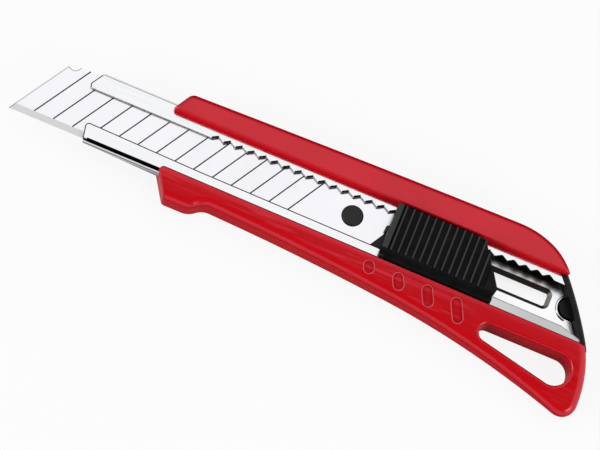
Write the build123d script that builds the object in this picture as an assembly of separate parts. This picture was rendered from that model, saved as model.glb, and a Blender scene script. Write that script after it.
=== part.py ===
from build123d import *
import math
import os

# Snap-off utility knife lying on its back: +X runs to the tail, the cutting edge faces -Y.
# All sizes are in mm. The origin is on the back face, under the middle of the blade.

# Blade
BLADE_WIDTH = 18.0
BLADE_LENGTH = 100.0
BLADE_THICKNESS = 0.5
BLADE_TAIL_X = -4.0
BEVEL_WIDTH = 1.8
EDGE_LAND = 0.06
SCORE_ANGLE = 60.0
SCORE_PITCH = 5.45
SCORE_COUNT = 14
SCORE_WIDTH = 0.34
SCORE_DEPTH = 0.14
SPINE_NICK_RADIUS = 1.75
STUD_DIAMETER = 5.8
STUD_TO_TAIL = 5.1
STUD_CLEARANCE = 0.1
STUD_CHAMFER = 0.3

# Steel channel
SHEET = 0.8
BLADE_SIDE_CLEARANCE = 0.2
BLADE_LIP_CLEARANCE = 0.2
CHANNEL_DEPTH = 4.8
CHANNEL_BEND = 1.1
NOSE_LENGTH = 24.5
NOSE_DEPTH = 2.5
NOSE_LEAD = 6.0
NOSE_SLANT = 0.21
FAR_LIP_WIDTH = 5.3
FAR_LIP_LEAD = 0.9
NEAR_LIP_WIDTH_FRONT = 5.2
NEAR_LIP_WIDTH_MIDDLE = 4.5
NEAR_LIP_WIDTH_REAR = 3.8
NEAR_LIP_SETBACK = 0.4
NEAR_LIP_CUT_LEAD = 3.2
NEAR_LIP_CUT_SLOPE = 0.3
LIP_CORNER = 0.9
NOTCH_PITCH = 3.4
NOTCH_DEPTH = 1.0
NOTCH_ROUND = 0.45
NOTCH_COUNT = 29
NOTCH_COUNT_AHEAD = 19
GROOVE_WIDTH = 6.0
GROOVE_DEPTH = 1.2
GROOVE_CORNER = 1.8
GROOVE_WALL_ANGLE = 45.0
GROOVE_Y = 0.4
GROOVE_FRONT_X = -52.0
GROOVE_REAR_X = 48.4

# Handle
HANDLE_FLOOR = 3.2
HANDLE_FRONT_X = -59.0
CHANNEL_FIT = 0.1
FLANGE_THICKNESS = 1.35
FLANGE_COVER_FRONT = 2.1
FLANGE_COVER_REAR = 1.2
RAIL_HEIGHT = 3.0
RAIL_COVER = 2.5
RAIL_WALL_FRONT = 2.6
RAIL_WALL_MIDDLE = 4.75
RAIL_WALL_REAR = 5.4
RAIL_OVERRUN = 1.4
SHOULDER_LENGTH = 17.0
SHOULDER_DROP = 7.2
TAIL_OVERRUN = 10.8
TAIL_DROP = 14.0
TAIL_TURN = 51.0
TAIL_CORNER_RADIUS = 4.1
TAIL_CORNER_TURN = 109.0
GRIP_WALL = 3.1
GUARD_DEPTH = 2.7
GUARD_LENGTH = 7.5
GUARD_SLOPE = 7.0
CROWN_START = 2.0
CROWN_FALL = 0.13
CROWN_RADIUS = 190.0
BACK_RISE_RADIUS = 85.0
GRIP_EDGE_RADIUS = 2.4
RAIL_EDGE_RADIUS = 1.6
RAIL_INNER_CHAMFER = 0.4
BACK_EDGE_CHAMFER = 1.0
FRONT_OVERRUN = 20.0
RAIL_CORNER = 2.4
FLANGE_CORNER = 1.2
FLANGE_CHAMFER = 0.35
GUARD_SETBACK = 2.0
FLANGE_LEAD = 3.0
RAIL_LEAD = 5.0
RAIL_FOOT_LEAD = 1.0
LOOP_SMALL_RADIUS = 2.3
LOOP_LARGE_RADIUS = 4.3
LOOP_LENGTH = 26.5
LOOP_LEAD = 16.6
LOOP_WALL = 3.3
LOOP_EDGE_RADIUS = 0.8
DIMPLE_COUNT = 4
DIMPLE_PITCH = 8.6
DIMPLE_WIDTH = 2.9
DIMPLE_LENGTH = 3.6
DIMPLE_GROWTH = 1.1
DIMPLE_DEPTH = 0.5
DIMPLE_SLANT = 63.0
DIMPLE_INSET = 1.9
DIMPLE_DRIFT = 0.55
STAKE_DIAMETER = 3.0
STAKE_SPACING = 12.0
STAKE_SETBACK = 6.0

# Blade carrier, thumb slider and lock
SLIDE_CLEARANCE = 0.15
CARRIER_FRONT = 7.0
CARRIER_LENGTH = 46.0
REAR_SLANT = 32.0
NECK_SETBACK = 4.5
NECK_LENGTH = 16.0
NECK_WEB = 1.4
NECK_HEAD = 1.0
NECK_NEAR_GAP = 0.2
NECK_FAR_GAP = 0.6
HEAD_OVERHANG = 1.0
SLIDER_SETBACK = 5.0
SLIDER_LENGTH = 33.4
SLIDER_HEIGHT = 4.85
SLIDER_RAIL_GAP = 0.6
SLIDER_FLANGE_GAP = 0.9
SLIDER_WALL = 1.8
SLIDER_ROOF = 1.9
SLIDER_CORNER = 1.4
SLIDER_DRAFT = 0.5
SLIDER_FRONT_LAND = 1.5
RIB_START = 2.4
RIB_PITCH = 2.06
RIB_COUNT = 13
RIB_TOP = 0.5
RIB_FOOT = 0.9
RIB_DEPTH = 0.8
NUB_RADIUS = 0.85
THUMB_SHIFT = 1.2
LOCK_RATIO = 0.9
TOOTH_SETBACK = 13.7
TOOTH_WIDTH = 1.3
TOOTH_BODY = 3.0
TOOTH_NOTCH_GAP = 0.25
TOOTH_LENGTH = 3.4
TOOTH_LEVEL_GAP = 0.6
PEG_WIDTH = 1.8
PEG_OFFSET = 0.2
RAMP_GAP = 0.12
RAMP_DEPTH = 2.4
SPRING_THICKNESS = 0.25
SPRING_SPAN = 9.4
SPRING_SAG = 1.4
SPRING_ROOM = 1.8

# End cap
CAP_WALL = 1.7
CAP_EDGE_CHAMFER = 0.6
CAP_REACH = 8.0
CAP_TONGUE_RADIUS = 2.9
CAP_TONGUE_THICKNESS = 1.7
CAP_TONGUE_SETBACK = 5.5
CAP_CHEEK_SETBACK = 5.6
CAP_CLEARANCE = 0.15

# Levels above the back face
CHANNEL_FLOOR_TOP = HANDLE_FLOOR + SHEET
LIP_TOP = HANDLE_FLOOR + CHANNEL_DEPTH
LIP_UNDER = LIP_TOP - SHEET
BLADE_TOP = LIP_UNDER - BLADE_LIP_CLEARANCE
BLADE_UNDER = BLADE_TOP - BLADE_THICKNESS
SLIDER_UNDER = LIP_TOP + SLIDE_CLEARANCE
SLIDER_TOP = SLIDER_UNDER + SLIDER_HEIGHT
FLANGE_TOP = LIP_TOP + FLANGE_THICKNESS
RAIL_TOP = LIP_TOP + RAIL_HEIGHT
HEAD_UNDER = LIP_TOP + NECK_WEB
HEAD_TOP = HEAD_UNDER + NECK_HEAD
ROOF_UNDER = SLIDER_TOP - SLIDER_ROOF
TOOTH_LOW = LIP_UNDER + SLIDE_CLEARANCE / 3
TOOTH_HIGH = HEAD_TOP - TOOTH_LEVEL_GAP

# Places across the knife
HALF_BLADE = BLADE_WIDTH / 2
HALF_INSIDE = HALF_BLADE + BLADE_SIDE_CLEARANCE
HALF_CHANNEL = HALF_INSIDE + SHEET
HALF_POCKET = HALF_CHANNEL + CHANNEL_FIT
FAR_LIP_EDGE = HALF_CHANNEL - FAR_LIP_WIDTH
RAIL_EDGE = HALF_CHANNEL - RAIL_COVER
FLANGE_EDGE = -HALF_CHANNEL + FLANGE_COVER_FRONT
GRIP_Y = -HALF_CHANNEL - GRIP_WALL
CORNER_Y = -HALF_CHANNEL - TAIL_DROP
SLIDER_NEAR = FLANGE_EDGE + SLIDER_FLANGE_GAP
SLIDER_FAR = RAIL_EDGE - SLIDER_RAIL_GAP
NECK_NEAR = -HALF_CHANNEL + NEAR_LIP_WIDTH_FRONT + NECK_NEAR_GAP
NECK_FAR = FAR_LIP_EDGE - NECK_FAR_GAP
WELL_BACK = NECK_NEAR + HEAD_OVERHANG + 2 * SLIDE_CLEARANCE
TOOTH_TIP = FAR_LIP_EDGE + NOTCH_DEPTH - TOOTH_NOTCH_GAP
TOOTH_BACK = WELL_BACK + SPRING_ROOM
TOOTH_FRONT = TOOTH_BACK + TOOTH_LENGTH
PEG_FACE = (TOOTH_BACK + TOOTH_FRONT) / 2 + PEG_OFFSET

# Places along the knife
BLADE_TIP_X = BLADE_TAIL_X - BLADE_LENGTH
STUD_X = BLADE_TAIL_X - STUD_TO_TAIL
SLANT = 1 / math.tan(math.radians(SCORE_ANGLE))
NOSE_ROOT_X = HANDLE_FRONT_X + SHEET
NOSE_TIP_X = NOSE_ROOT_X - NOSE_LENGTH
FAR_LIP_FRONT_X = NOSE_TIP_X - FAR_LIP_LEAD
NEAR_LIP_FRONT_X = NOSE_TIP_X + NEAR_LIP_SETBACK
SLIDER_FRONT_X = BLADE_TAIL_X + SLIDER_SETBACK
TOOTH_X = SLIDER_FRONT_X + TOOTH_SETBACK
NECK_FRONT_X = SLIDER_FRONT_X + NECK_SETBACK
NECK_REAR_X = NECK_FRONT_X + NECK_LENGTH
RAIL_END_X = GROOVE_REAR_X + RAIL_OVERRUN
CORNER_X = RAIL_END_X + TAIL_OVERRUN
TAIL_X = CORNER_X + TAIL_CORNER_RADIUS
TONGUE_X = GROOVE_REAR_X + CAP_TONGUE_SETBACK
STAKE_X = GROOVE_FRONT_X + STAKE_SETBACK
OUTLINE_START_X = HANDLE_FRONT_X - FRONT_OVERRUN
FAR_BEYOND = 200.0
OVERCUT = 1.0


def block(x0, x1, y0, y1, z0, z1):
    """A box between two corners."""
    middle = Pos((x0 + x1) / 2, (y0 + y1) / 2, (z0 + z1) / 2)
    return middle * Box(x1 - x0, y1 - y0, z1 - z0)


def raised(outline, z0, z1):
    """A plan face raised between two levels."""
    return extrude(Pos(0, 0, z0) * outline, z1 - z0)


def prism(points, z0, z1):
    """A straight-sided plan outline raised between two levels."""
    return raised(make_face(Polyline(*points, close=True)), z0, z1)


def pin(x, y, z, radius, height):
    """An upright pin standing on a level."""
    return Pos(x, y, z) * Cylinder(radius, height, align=(Align.CENTER, Align.CENTER, Align.MIN))


def crosswise(x):
    """A plane across the knife at station x, drawn in Y and Z."""
    return Plane(origin=(x, 0, 0), x_dir=(0, 1, 0), z_dir=(1, 0, 0))


def two_arcs(start, leaving, end, arriving):
    """Two tangent arcs from one point and direction to another."""
    run = Vector(*end) - Vector(*start)
    first = Vector(*leaving).normalized()
    last = Vector(*arriving).normalized()
    forward = run.dot(first + last)
    bend = 2 * (1 - first.dot(last))
    reach = (math.sqrt(forward ** 2 + bend * run.dot(run)) - forward) / bend
    joint = (Vector(*start) + Vector(*end) + (first - last) * reach) * 0.5
    front = TangentArc(start, joint, tangent=first)
    return [front, TangentArc(joint, end, tangent=front % 1)]


def tail_arcs():
    """The arcs around the tail: the rail's shoulder, then the long curve down to the loop."""
    shoulder = (RAIL_END_X - SHOULDER_LENGTH, HALF_CHANNEL + RAIL_WALL_REAR)
    rail_end = (RAIL_END_X, HALF_CHANNEL + RAIL_WALL_REAR - SHOULDER_DROP)
    turning = (math.cos(math.radians(TAIL_TURN)), -math.sin(math.radians(TAIL_TURN)))
    arcs = two_arcs(shoulder, (1, 0.02), rail_end, turning)
    return arcs + two_arcs(rail_end, turning, (TAIL_X, CORNER_Y), (0, -1))


def handle_outline():
    """The handle seen from above, run on past its front end."""
    tail = tail_arcs()
    far_start = (OUTLINE_START_X, HALF_CHANNEL + RAIL_WALL_FRONT)
    far_middle = ((HANDLE_FRONT_X + RAIL_END_X) / 2, HALF_CHANNEL + RAIL_WALL_MIDDLE)
    turn = math.radians(TAIL_CORNER_TURN)
    corner = CenterArc((CORNER_X, CORNER_Y), TAIL_CORNER_RADIUS, 0, -TAIL_CORNER_TURN)
    grip_front = (HANDLE_FRONT_X + GUARD_LENGTH + GUARD_SLOPE, GRIP_Y)
    guard_rear = (HANDLE_FRONT_X + GUARD_LENGTH, GRIP_Y - GUARD_DEPTH)
    guard_front = (OUTLINE_START_X, GRIP_Y - GUARD_DEPTH)
    forward = (-1, 0.03)
    edges = [ThreePointArc(far_start, far_middle, tail[0] @ 0), *tail, corner]
    edges += two_arcs(corner @ 1, (-math.sin(turn), -math.cos(turn)), grip_front, forward)
    edges += two_arcs(grip_front, forward, guard_rear, (-1, 0))
    edges += [Line(guard_rear, guard_front), Line(guard_front, far_start)]
    return make_face(edges)


def ahead_of_front():
    """The plan region ahead of the handle's slanted front end."""
    corners = [
        (-FAR_BEYOND, -FAR_BEYOND),
        (HANDLE_FRONT_X + GUARD_SETBACK, -FAR_BEYOND),
        (HANDLE_FRONT_X + GUARD_SETBACK, GRIP_Y - GUARD_DEPTH),
        (HANDLE_FRONT_X - FLANGE_LEAD, FLANGE_EDGE),
        (HANDLE_FRONT_X - RAIL_LEAD, RAIL_EDGE),
        (HANDLE_FRONT_X - RAIL_FOOT_LEAD, HALF_CHANNEL + RAIL_WALL_MIDDLE),
        (HANDLE_FRONT_X - RAIL_FOOT_LEAD, FAR_BEYOND),
        (-FAR_BEYOND, FAR_BEYOND),
    ]
    return make_face(Polyline(*corners, close=True))


def inside_tail(inset):
    """The plan region ahead of the tail, its arcs drawn in by an inset."""
    arcs = []
    for arc in tail_arcs():
        points = []
        for share in (0, 0.5, 1):
            run = arc % share
            points.append(arc @ share + Vector(run.Y, -run.X) * inset)
        arcs.append(ThreePointArc(*points))
    far = arcs[0] @ 0
    near = arcs[-1] @ 1
    back = [Line(near, (0, near.Y)), Line((0, near.Y), (0, far.Y)), Line((0, far.Y), far)]
    return make_face(arcs + back)


def loop_outline():
    """The finger loop's opening: two rounds of different size and their common tangents."""
    far_y = -HALF_CHANNEL - LOOP_WALL
    small_x = RAIL_END_X - LOOP_LEAD + LOOP_SMALL_RADIUS
    large_x = RAIL_END_X - LOOP_LEAD + LOOP_LENGTH - LOOP_LARGE_RADIUS
    small = Pos(small_x, far_y - LOOP_SMALL_RADIUS) * Circle(LOOP_SMALL_RADIUS)
    large = Pos(large_x, far_y - LOOP_LARGE_RADIUS) * Circle(LOOP_LARGE_RADIUS)
    return make_hull((small + large).edges())


def crown(y):
    """Height and slope in degrees of the grip's crowned top at a distance y from the centre line."""
    fall = CROWN_START - HALF_CHANNEL - y
    slope = CROWN_FALL + fall / CROWN_RADIUS
    level = FLANGE_TOP - fall * (CROWN_FALL + slope) / 2
    return level, math.degrees(math.atan(slope))


def grip_section():
    """The grip's cross section: a crowned top and a back that rises towards the loop."""
    inner_y = CROWN_START
    outer_y = CORNER_Y - 2 * TAIL_CORNER_RADIUS
    middle_y = (inner_y + outer_y) / 2
    back_start = -HALF_CHANNEL
    back_rise = (back_start - outer_y) ** 2 / (2 * BACK_RISE_RADIUS)
    back_middle = ((back_start + outer_y) / 2, back_rise / 4)
    top_inner = (inner_y, crown(inner_y)[0])
    top_outer = (outer_y, crown(outer_y)[0])
    edges = [
        ThreePointArc(top_inner, (middle_y, crown(middle_y)[0]), top_outer),
        Line(top_outer, (outer_y, back_rise)),
        ThreePointArc((outer_y, back_rise), back_middle, (back_start, 0)),
        Line((back_start, 0), (inner_y, 0)),
        Line((inner_y, 0), top_inner),
    ]
    return make_face(edges)


def rim(solid, edges, upper):
    """The top or back edges of a solid that lie over the given edges of its plan outline."""
    picked = []
    for edge in solid.edges():
        middle = edge @ 0.5
        level = abs((edge % 0.5).Z) < 0.7 and (middle.Z > LIP_UNDER / 2) == upper
        if level and min(side.distance_to((middle.X, middle.Y, 0)) for side in edges) < 0.01:
            picked.append(edge)
    return picked


def make_far_side(outline):
    """The handle's far half: the rail, its edges and front corners rounded."""
    plan = outline - ahead_of_front()
    front = [point for point in plan.vertices() if point.X < HANDLE_FRONT_X and point.Y > 0]
    plan = fillet(front, RAIL_CORNER)
    sides = [side for side in plan.edges() if side.bounding_box().max.Y > RAIL_EDGE - RAIL_CORNER]
    body = raised(plan, 0, RAIL_TOP)
    body = fillet(rim(body, sides, True), RAIL_EDGE_RADIUS)
    body = chamfer(rim(body, sides, False), BACK_EDGE_CHAMFER)
    return body & block(-FAR_BEYOND, FAR_BEYOND, 0, FAR_BEYOND, 0, RAIL_TOP)


def make_near_side(outline):
    """The handle's near half: the rounded grip with its guard, front end and finger loop."""
    sides = [side for side in outline.edges() if side.bounding_box().min.Y < CROWN_START]
    sides = [side for side in sides if side.bounding_box().max.X > OUTLINE_START_X + OVERCUT]
    body = raised(outline, 0, RAIL_TOP)
    body = body & extrude(crosswise(-FAR_BEYOND) * grip_section(), 2 * FAR_BEYOND)
    body = fillet(rim(body, sides, True), GRIP_EDGE_RADIUS)
    body = chamfer(rim(body, sides, False), BACK_EDGE_CHAMFER)
    body = body & block(-FAR_BEYOND, FAR_BEYOND, -FAR_BEYOND, 0, 0, RAIL_TOP)
    body = body - raised(ahead_of_front(), 0, RAIL_TOP)
    loop = loop_outline()
    body = body - raised(loop, 0, RAIL_TOP)
    body = fillet(rim(body, loop.edges(), True), LOOP_EDGE_RADIUS)
    return chamfer(rim(body, loop.edges(), False), BACK_EDGE_CHAMFER / 2)


def make_handle():
    """Red moulded handle: tray for the channel, far rail, near flange, guard and finger loop."""
    outline = handle_outline()
    body = make_near_side(outline) + make_far_side(outline)
    pocket = block(-FAR_BEYOND, FAR_BEYOND, -HALF_POCKET, HALF_POCKET, HANDLE_FLOOR, LIP_TOP + CHANNEL_FIT)
    opening = [
        (OUTLINE_START_X, FLANGE_EDGE),
        (TAIL_X, -HALF_CHANNEL + FLANGE_COVER_REAR),
        (TAIL_X, RAIL_EDGE),
        (OUTLINE_START_X, RAIL_EDGE),
    ]
    body = body - pocket - prism(opening, HANDLE_FLOOR, RAIL_TOP + OVERCUT)
    tip = (HANDLE_FRONT_X - FLANGE_LEAD, FLANGE_EDGE, FLANGE_TOP)
    corner = body.edges().filter_by(Axis.Z).sort_by_distance(tip)[0]
    body = fillet(corner, FLANGE_CORNER)
    flange = body.edges().sort_by_distance((0, FLANGE_EDGE, FLANGE_TOP))[0]
    body = chamfer(flange, FLANGE_CHAMFER)
    rail = body.edges().sort_by_distance((0, RAIL_EDGE, RAIL_TOP))[0]
    body = chamfer(rail, RAIL_INNER_CHAMFER)
    groove_half = GROOVE_WIDTH / 2 + SHEET
    body = body - block(
        GROOVE_FRONT_X - SHEET,
        GROOVE_REAR_X + SHEET,
        GROOVE_Y - groove_half,
        GROOVE_Y + groove_half,
        HANDLE_FLOOR - GROOVE_DEPTH - CHANNEL_FIT,
        HANDLE_FLOOR + OVERCUT,
    )
    for number in range(DIMPLE_COUNT):
        y = -HALF_CHANNEL - DIMPLE_INSET - DIMPLE_DRIFT * number
        level, slope = crown(y)
        oval = Rot(0, 0, -DIMPLE_SLANT) * SlotOverall(DIMPLE_LENGTH + DIMPLE_GROWTH * number, DIMPLE_WIDTH)
        cutter = extrude(oval, 3 * DIMPLE_DEPTH)
        place = Pos(DIMPLE_PITCH * number, y, level) * Rot(slope, 0, 0)
        body = body - place * Pos(0, 0, -DIMPLE_DEPTH) * cutter
    for side in (-1, 1):
        body = body + pin(STAKE_X, side * STAKE_SPACING / 2, HANDLE_FLOOR, STAKE_DIAMETER / 2, SHEET)
    return body


def tube_section(x, depth, inset):
    """The channel's rounded outer section, or its sharp inner one, at station x below the lip level."""
    width = 2 * HALF_CHANNEL - 2 * inset
    height = depth - 2 * inset
    shape = Rectangle(width, height) if inset else RectangleRounded(width, height, CHANNEL_BEND)
    return crosswise(x) * Pos(0, LIP_TOP - depth / 2) * shape


def tube_solid(rear_x, inset):
    """The channel's full outer or inner body: straight lead, tapering nose and main run."""
    tip = tube_section(NOSE_TIP_X, NOSE_DEPTH, inset)
    root = tube_section(NOSE_ROOT_X, CHANNEL_DEPTH, inset)
    nose = loft([tip, root], ruled=True)
    return extrude(tip, -NOSE_LEAD) + nose + extrude(root, rear_x - NOSE_ROOT_X)


def notch_row():
    """The row of locking notches along the far lip, as a face that is cut away."""
    first = TOOTH_X - NOTCH_COUNT_AHEAD * NOTCH_PITCH
    teeth = []
    for number in range(2 * NOTCH_COUNT - 1):
        depth = NOTCH_DEPTH if number % 2 == 0 else 0
        teeth.append((first + number * NOTCH_PITCH / 2, FAR_LIP_EDGE + depth))
    low = FAR_LIP_EDGE - OVERCUT
    run = NOTCH_PITCH / 2 * (NOTCH_DEPTH + OVERCUT) / NOTCH_DEPTH
    ends = [(teeth[-1][0] + run, low), (teeth[0][0] - run, low)]
    row = make_face(Polyline(*teeth, *ends, close=True))
    return fillet(row.vertices().filter_by(lambda v: v.Y > low + OVERCUT / 2), NOTCH_ROUND)


def groove_solid(drop, widen):
    """The pressed groove in the channel floor: sloped walls, with round corners on the inside."""
    length = GROOVE_REAR_X - GROOVE_FRONT_X + 2 * widen
    width = GROOVE_WIDTH + 2 * widen
    place = Pos((GROOVE_REAR_X + GROOVE_FRONT_X) / 2, GROOVE_Y, CHANNEL_FLOOR_TOP - drop)
    mouth = Rectangle(length, width) if widen else RectangleRounded(length, width, GROOVE_CORNER)
    return extrude(place * mouth, GROOVE_DEPTH, dir=(0, 0, -1), taper=GROOVE_WALL_ANGLE)


def lip_plans(rear_x):
    """The far and near lips seen from above, with rounded front corners and the notches."""
    outside = HALF_CHANNEL + OVERCUT
    near_front = -HALF_CHANNEL + NEAR_LIP_WIDTH_FRONT
    near_rear = -HALF_CHANNEL + NEAR_LIP_WIDTH_REAR
    far_corner = (FAR_LIP_FRONT_X - SLANT * (outside - FAR_LIP_EDGE), FAR_LIP_EDGE)
    near_corner = (NEAR_LIP_FRONT_X - NOSE_SLANT * (outside + near_front), near_front)
    cut_x = RAIL_END_X + NEAR_LIP_CUT_LEAD
    far_points = [(FAR_LIP_FRONT_X, outside), far_corner, (rear_x, FAR_LIP_EDGE), (rear_x, outside)]
    near_points = [
        (NEAR_LIP_FRONT_X, -outside),
        near_corner,
        (GROOVE_FRONT_X, -HALF_CHANNEL + NEAR_LIP_WIDTH_MIDDLE),
        (RAIL_END_X, near_rear),
        (cut_x, near_rear),
        (rear_x, near_rear - NEAR_LIP_CUT_SLOPE * (rear_x - cut_x)),
        (rear_x, -outside),
    ]
    far = make_face(Polyline(*far_points, close=True))
    near = make_face(Polyline(*near_points, close=True))
    far = fillet(far.vertices().sort_by_distance(far_corner)[0], LIP_CORNER)
    near = fillet(near.vertices().sort_by_distance(near_corner)[0], LIP_CORNER)
    return far - notch_row(), near


def make_channel():
    """Folded stainless channel: lips over the blade, notched far lip, tapered nose, pressed groove."""
    outside = HALF_CHANNEL + OVERCUT
    lead_x = NOSE_TIP_X - FRONT_OVERRUN
    channel = tube_solid(TAIL_X, 0) + groove_solid(SHEET, SHEET * 0.6)
    channel = channel - tube_solid(TAIL_X, SHEET) - groove_solid(0, 0)
    low = LIP_UNDER - BLADE_LIP_CLEARANCE
    high = LIP_TOP + OVERCUT
    slot = block(lead_x, TAIL_X + OVERCUT, -outside, outside, low, high)
    for lip in lip_plans(TAIL_X + OVERCUT):
        slot = slot - raised(lip, low, high)
    far_front = [
        (FAR_LIP_FRONT_X, outside),
        (FAR_LIP_FRONT_X - SLANT * outside, 0),
        (lead_x, 0),
        (lead_x, outside),
    ]
    near_front = [
        (NEAR_LIP_FRONT_X, -outside),
        (NEAR_LIP_FRONT_X - NOSE_SLANT * outside, 0),
        (lead_x, 0),
        (lead_x, -outside),
    ]
    channel = channel - slot - prism(far_front, 0, RAIL_TOP) - prism(near_front, 0, RAIL_TOP)
    under_blade = BLADE_UNDER - BLADE_LIP_CLEARANCE
    channel = channel - block(lead_x, NOSE_TIP_X, -HALF_INSIDE, HALF_INSIDE, 0, under_blade)
    kept = raised(inside_tail(CAP_WALL + CAP_CLEARANCE), 0, RAIL_TOP)
    channel = channel - (block(0, FAR_BEYOND, -outside, outside, 0, RAIL_TOP) - kept)
    notch_radius = CAP_TONGUE_RADIUS + 2 * CAP_CLEARANCE
    notch = SlotOverall(FAR_BEYOND, 2 * notch_radius)
    notch = Pos(TONGUE_X - notch_radius + FAR_BEYOND / 2, GROOVE_Y) * notch
    channel = channel - raised(notch, HANDLE_FLOOR - SHEET, CHANNEL_FLOOR_TOP + CAP_CLEARANCE)
    for side in (-1, 1):
        hole_radius = STAKE_DIAMETER / 2 + CHANNEL_FIT
        hole = pin(STAKE_X, side * STAKE_SPACING / 2, HANDLE_FLOOR - SHEET, hole_radius, 3 * SHEET)
        channel = channel - hole
    return channel


def blade_tail(shift):
    """The blade's slanted and square tail edges, moved back by a clearance."""
    square_x = STUD_X + 2 * STUD_TO_TAIL
    break_y = (square_x - BLADE_TAIL_X) / SLANT - HALF_BLADE
    return [
        (BLADE_TAIL_X + shift, -HALF_BLADE),
        (square_x + shift, break_y),
        (square_x + shift, HALF_BLADE),
    ]


def make_blade():
    """Snap-off blade: slanted ends, ground edge, score lines, spine nick and stud hole."""
    spine_x = BLADE_TIP_X + SLANT * BLADE_WIDTH
    corners = [(BLADE_TIP_X, -HALF_BLADE), *blade_tail(0), (spine_x, HALF_BLADE)]
    blade = prism(corners, BLADE_UNDER, BLADE_TOP)
    middle = (BLADE_UNDER + BLADE_TOP) / 2
    for side in (-1, 1):
        land = middle + side * EDGE_LAND / 2
        surface = middle + side * BLADE_THICKNESS / 2
        ground = [
            (-HALF_BLADE - OVERCUT, land),
            (-HALF_BLADE, land),
            (-HALF_BLADE + BEVEL_WIDTH, surface),
            (-HALF_BLADE - OVERCUT, surface),
        ]
        wedge = make_face(Polyline(*ground, close=True))
        blade = blade - extrude(crosswise(-FAR_BEYOND) * wedge, 2 * FAR_BEYOND)
    nick_x = spine_x + SPINE_NICK_RADIUS / 2
    nick_y = HALF_BLADE + SPINE_NICK_RADIUS / 5
    blade = blade - pin(nick_x, nick_y, BLADE_UNDER, SPINE_NICK_RADIUS, BLADE_THICKNESS)
    blade = blade - pin(STUD_X, 0, BLADE_UNDER, STUD_DIAMETER / 2 + STUD_CLEARANCE, BLADE_THICKNESS)
    half = SCORE_WIDTH / 2
    score = make_face(Polyline((-half, 0), (half, 0), (0, -SCORE_DEPTH), close=True))
    lean = math.radians(SCORE_ANGLE)
    for number in range(1, SCORE_COUNT + 1):
        foot = Plane(
            origin=(BLADE_TIP_X + number * SCORE_PITCH, -HALF_BLADE, BLADE_TOP),
            x_dir=(math.sin(lean), -math.cos(lean), 0),
            z_dir=(math.cos(lean), math.sin(lean), 0),
        )
        blade = blade - extrude(foot * score, 2 * BLADE_WIDTH)
    return blade


def make_carrier():
    """Black carrier in the channel: blade bed with stud, key in the groove, neck between the lips."""
    half = HALF_INSIDE - SLIDE_CLEARANCE
    front_x = STUD_X - CARRIER_FRONT
    near_x = front_x + CARRIER_LENGTH
    far_x = near_x - 2 * half * math.tan(math.radians(REAR_SLANT))
    bed = [(front_x, -half), (near_x, -half), (far_x, half), (front_x, half)]
    carrier = prism(bed, CHANNEL_FLOOR_TOP + SLIDE_CLEARANCE, BLADE_UNDER)
    low_tail, mid_tail, high_tail = blade_tail(SLIDE_CLEARANCE)
    deck = [(low_tail[0], -half), (near_x, -half), (far_x, half), (high_tail[0], half), mid_tail]
    carrier = carrier + prism(deck, BLADE_UNDER, LIP_UNDER - SLIDE_CLEARANCE)
    stud = pin(STUD_X, 0, BLADE_UNDER, STUD_DIAMETER / 2, 2 * BLADE_THICKNESS)
    carrier = carrier + chamfer(stud.edges().sort_by(Axis.Z)[-1], STUD_CHAMFER)
    key_half = GROOVE_WIDTH / 2 - GROOVE_DEPTH - 2 * SLIDE_CLEARANCE
    carrier = carrier + block(
        front_x + GROOVE_WIDTH,
        far_x,
        GROOVE_Y - key_half,
        GROOVE_Y + key_half,
        CHANNEL_FLOOR_TOP - GROOVE_DEPTH + SLIDE_CLEARANCE,
        BLADE_UNDER,
    )
    waist_near = NECK_NEAR + HEAD_OVERHANG
    waist_far = NECK_FAR - HEAD_OVERHANG
    carrier = carrier + block(NECK_FRONT_X, NECK_REAR_X, NECK_NEAR, NECK_FAR, BLADE_UNDER, LIP_TOP)
    carrier = carrier + block(NECK_FRONT_X, NECK_REAR_X, waist_near, waist_far, LIP_TOP, HEAD_UNDER)
    carrier = carrier + block(NECK_FRONT_X, NECK_REAR_X, NECK_NEAR, NECK_FAR, HEAD_UNDER, HEAD_TOP)
    well = TOOTH_BODY / 2 + SLIDE_CLEARANCE
    well_front = TOOTH_FRONT + SLIDE_CLEARANCE
    high = HEAD_TOP + OVERCUT
    carrier = carrier - block(TOOTH_X - well, TOOTH_X + well, WELL_BACK, well_front, LIP_UNDER, high)
    pocket = SPRING_SPAN / 2 + 2 * SLIDE_CLEARANCE
    pocket_front = TOOTH_BACK + 2 * SLIDE_CLEARANCE
    carrier = carrier - block(TOOTH_X - pocket, TOOTH_X + pocket, WELL_BACK, pocket_front, LIP_UNDER, high)
    slot = TOOTH_WIDTH / 2 + SLIDE_CLEARANCE
    return carrier - block(TOOTH_X - slot, TOOTH_X + slot, TOOTH_BACK, NECK_FAR, LIP_UNDER, LIP_TOP)


def make_tooth():
    """Steel lock tooth: round nose in a lip notch, body in the neck, peg against the slider's ramp."""
    half = TOOTH_BODY / 2
    radius = TOOTH_WIDTH / 2
    nose_y = TOOTH_TIP - radius
    nose_top = LIP_TOP - SLIDE_CLEARANCE / 2
    tooth = block(TOOTH_X - half, TOOTH_X + half, TOOTH_BACK, TOOTH_FRONT, TOOTH_LOW, TOOTH_HIGH)
    tooth = tooth + block(TOOTH_X - radius, TOOTH_X + radius, TOOTH_BACK, nose_y, TOOTH_LOW, nose_top)
    tooth = tooth + pin(TOOTH_X, nose_y, TOOTH_LOW, radius, nose_top - TOOTH_LOW)
    peg_half = PEG_WIDTH / 2
    reach = LOCK_RATIO * peg_half
    peg = [
        (TOOTH_X - peg_half, TOOTH_BACK),
        (TOOTH_X + peg_half, TOOTH_BACK),
        (TOOTH_X + peg_half, PEG_FACE + reach),
        (TOOTH_X - peg_half, PEG_FACE - reach),
    ]
    return tooth + prism(peg, TOOTH_HIGH, ROOF_UNDER - SLIDE_CLEARANCE)


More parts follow.
